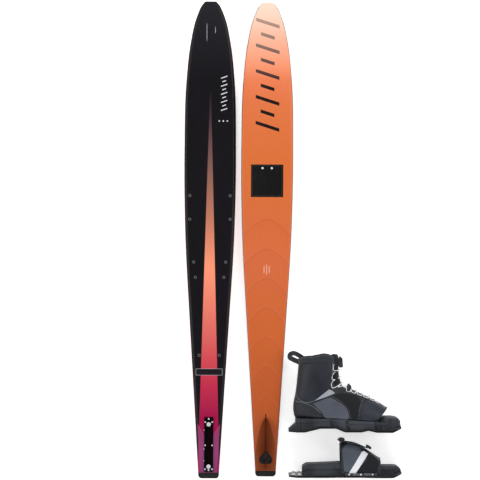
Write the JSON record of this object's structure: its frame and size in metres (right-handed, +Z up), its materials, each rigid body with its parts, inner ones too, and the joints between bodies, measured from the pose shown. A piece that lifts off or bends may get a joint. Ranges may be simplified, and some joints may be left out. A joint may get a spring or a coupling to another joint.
{
  "type": "water ski pair",
  "caption": "Slalom water ski pair with adjustable fins and wings, a laced front boot on its plate and a strapped rear toe plate, laid out flat.",
  "frame": {"origin": "middle of the laid-out set, on the floor", "axes": "+Z up off the floor, +Y towards the ski tips, +X from the left ski to the bindings"},
  "size_m": [0.7477, 1.6527, 0.15],
  "materials": {
    "deck": "satin",
    "base": "satin",
    "core": "satin",
    "guard": "satin",
    "steel": "satin",
    "black_alloy": "satin",
    "fin_alloy": "satin",
    "wing": "satin",
    "plate": "satin",
    "foam": "satin",
    "shell": "satin",
    "soft": "satin",
    "lace": "satin",
    "plastic": "satin"
  },
  "bodies": {
    "left_ski": {"left_ski_base": "base", "left_ski_deck": "deck", "left_ski_core": "core", "left_ski_tail_guard": "guard", "left_ski_inserts": "steel", "left_ski_fin_rail_left": "black_alloy", "left_ski_fin_rail_right": "black_alloy", "left_ski_fin_front_block": "black_alloy", "left_ski_fin_rear_block": "black_alloy", "left_ski_fin_clamps": "plastic", "left_ski_fin_box_screws": "steel", "left_ski_clamp_screws": "steel"},
    "left_fin_carrier": {"left_ski_fin_adjusters": "steel"},
    "left_fin": {"left_ski_fin": "fin_alloy"},
    "left_wing": {"left_ski_wing": "wing", "left_ski_wing_screws": "steel"},
    "right_ski": {"right_ski_base": "base", "right_ski_deck": "deck", "right_ski_core": "core", "right_ski_tail_guard": "guard", "right_ski_inserts": "steel", "right_ski_fin_rail_left": "black_alloy", "right_ski_fin_rail_right": "black_alloy", "right_ski_fin_front_block": "black_alloy", "right_ski_fin_rear_block": "black_alloy", "right_ski_fin_clamps": "plastic", "right_ski_fin_box_screws": "steel", "right_ski_clamp_screws": "steel"},
    "right_fin_carrier": {"right_ski_fin_adjusters": "steel"},
    "right_fin": {"right_ski_fin": "fin_alloy"},
    "right_wing": {"right_ski_wing": "wing", "right_ski_wing_screws": "steel"},
    "boot": {"boot_plate": "plate", "boot_midsole": "foam", "boot_toe_pad": "foam", "boot_shell": "shell", "boot_plate_screws": "steel", "boot_eyelets_lower": "plastic", "boot_lace_lower": "lace", "boot_lock_lower": "plastic"},
    "boot_cuff": {"boot_cuff": "soft", "boot_liner": "soft", "boot_collar": "soft", "boot_tongue": "soft", "boot_eyelets_upper": "plastic", "boot_lace_upper": "lace", "boot_lock_upper": "plastic"},
    "heel_loop": {"boot_heel_loop": "soft"},
    "lower_button": {"boot_button_lower": "plastic"},
    "upper_button": {"boot_button_upper": "plastic"},
    "toe_plate": {"toe_plate": "plate", "toe_footbed": "foam", "toe_overlay": "shell", "toe_overlay_liner": "soft", "toe_side_bars": "plate", "toe_screws": "steel", "toe_lace": "lace", "toe_lace_guide": "plastic", "toe_lock": "plastic"},
    "toe_button": {"toe_button": "plastic"}
  },
  "joints": [
    {"name": "right_ski_lift", "type": "slide", "parent": "left_ski", "child": "right_ski", "axis": [0, 0, 1], "range_m": [0, 0.15]},
    {"name": "boot_lift", "type": "slide", "parent": "left_ski", "child": "boot", "axis": [0, 0, 1], "range_m": [0, 0.15]},
    {"name": "toe_plate_lift", "type": "slide", "parent": "left_ski", "child": "toe_plate", "axis": [0, 0, 1], "range_m": [0, 0.15]},
    {"name": "left_fin_length", "type": "slide", "parent": "left_ski", "child": "left_fin_carrier", "axis": [0.0045, 0.9983, -0.0579], "range_m": [-0.004, 0.004]},
    {"name": "left_fin_depth", "type": "slide", "parent": "left_fin_carrier", "child": "left_fin", "axis": [0.0003, 0.0579, 0.9983], "range_m": [-0.003, 0.003]},
    {"name": "left_wing_angle", "type": "hinge", "parent": "left_fin", "child": "left_wing", "pos_m": [-0.28836, -0.74117, 0.03542], "axis": [1, -0.0045, 0], "range_deg": [-4, 8]},
    {"name": "right_fin_length", "type": "slide", "parent": "right_ski", "child": "right_fin_carrier", "axis": [0.0052, 0.9996, 0.0277], "range_m": [-0.004, 0.004]},
    {"name": "right_fin_depth", "type": "slide", "parent": "right_fin_carrier", "child": "right_fin", "axis": [0.0001, 0.0277, -0.9996], "range_m": [-0.003, 0.003]},
    {"name": "right_wing_angle", "type": "hinge", "parent": "right_fin", "child": "right_wing", "pos_m": [-0.09087, -0.74128, 0.05563], "axis": [-1, 0.0052, 0], "range_deg": [-4, 8]},
    {"name": "boot_flex", "type": "hinge", "parent": "boot", "child": "boot_cuff", "pos_m": [0.077, -0.554, 0.075], "axis": [0, 0, -1], "range_deg": [0, 12], "stiffness_Nm_per_rad": 8},
    {"name": "heel_loop_swing", "type": "hinge", "parent": "boot_cuff", "child": "heel_loop", "pos_m": [0.017, -0.427, 0.075], "axis": [0, 0, 1], "range_deg": [-2, 25]},
    {"name": "lower_lock_press", "type": "slide", "parent": "boot", "child": "lower_button", "axis": [0.1392, -0.9903, 0], "range_m": [0, 0.003], "stiffness_N_per_m": 600},
    {"name": "upper_lock_press", "type": "slide", "parent": "boot_cuff", "child": "upper_button", "axis": [0.0698, -0.9976, 0], "range_m": [0, 0.003], "stiffness_N_per_m": 600},
    {"name": "toe_lock_press", "type": "slide", "parent": "toe_plate", "child": "toe_button", "axis": [0.9945, -0.1045, 0], "range_m": [0, 0.003], "stiffness_N_per_m": 600}
  ]
}
